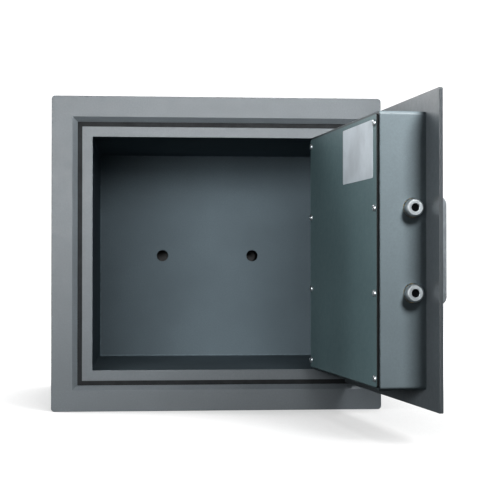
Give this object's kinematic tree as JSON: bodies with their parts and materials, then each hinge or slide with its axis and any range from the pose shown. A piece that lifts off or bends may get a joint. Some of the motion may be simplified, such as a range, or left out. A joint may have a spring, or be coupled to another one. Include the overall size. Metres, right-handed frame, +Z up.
{
  "type": "wall safe",
  "caption": "Painted steel wall safe: flush hinged door standing open, cased lever lock with round sliding bolts, fixed pull handle, lined cavity with anchor holes in its back.",
  "frame": {"origin": "centre of the safe's flat base, half way between its sides and between its face and its back", "axes": "+X to the viewer's right, the hinge side; -Y out of the face towards the viewer, so +Y goes into the wall; +Z up"},
  "size_m": [0.4133, 0.6841, 0.38],
  "materials": {
    "face_paint": "satin",
    "lining_paint": "satin",
    "casing_paint": "satin",
    "cover_paint": "satin",
    "handle_paint": "satin",
    "plated_steel": "satin",
    "bare_steel": "satin",
    "brass_metal": "satin",
    "badge_metal": "satin",
    "label_paper": "matte",
    "fill_cast": "matte",
    "seal_rubber": "matte"
  },
  "bodies": {
    "safe_body": {"front_frame": "face_paint", "rebate_plate": "face_paint", "seal_strip": "seal_rubber", "outer_shell": "face_paint", "back_plate": "face_paint", "inner_box": "lining_paint", "barrier_fill": "fill_cast", "anchor_sleeves": "bare_steel", "bolt_sockets": "bare_steel", "frame_knuckles": "face_paint", "hinge_pins": "bare_steel", "hinge_washers": "brass_metal"},
    "door": {"door_plate": "face_paint", "door_knuckles": "face_paint", "casing": "casing_paint", "casing_cover": "cover_paint", "cover_screws": "plated_steel", "label": "label_paper", "badge": "badge_metal", "handle": "handle_paint", "handle_screws": "bare_steel", "hard_plate": "bare_steel", "bolt_bushes": "brass_metal", "bolt_guides": "bare_steel", "lock_case": "plated_steel", "lock_cover": "plated_steel", "lock_studs": "bare_steel", "lock_nuts": "plated_steel", "rotor_bush": "brass_metal", "lever_post": "bare_steel"},
    "boltwork": {"shooting_bolts": "plated_steel", "bolt_bar": "bare_steel", "bolt_nuts": "plated_steel", "drive_rack": "bare_steel"},
    "key_rotor": {"key_rotor": "brass_metal"},
    "levers": {"lever_pack": "brass_metal", "lever_springs": "plated_steel"}
  },
  "joints": [
    {"name": "door_swing", "type": "hinge", "parent": "safe_body", "child": "door", "pos_m": [0.164, -0.18, 0.19], "axis": [0, 0, 1], "range_deg": [-97, 73]},
    {"name": "bolt_slide", "type": "slide", "parent": "door", "child": "boltwork", "axis": [0.1219, -0.9925, 0], "range_m": [0, 0.026]},
    {"name": "key_turn", "type": "hinge", "parent": "door", "child": "key_rotor", "pos_m": [0.17389, -0.42462, 0.172], "axis": [0.9925, 0.1219, 0], "range_deg": [0, 186.3]},
    {"name": "lever_lift", "type": "hinge", "parent": "door", "child": "levers", "pos_m": [0.16276, -0.40785, 0.206], "axis": [-0.9925, -0.1219, 0], "range_deg": [0, 5], "stiffness_Nm_per_rad": 0.1, "springref_deg": -11.46}
  ],
  "couplings": [
    {"joint": "key_turn", "follows": "bolt_slide", "rad_per_m": 125}
  ]
}
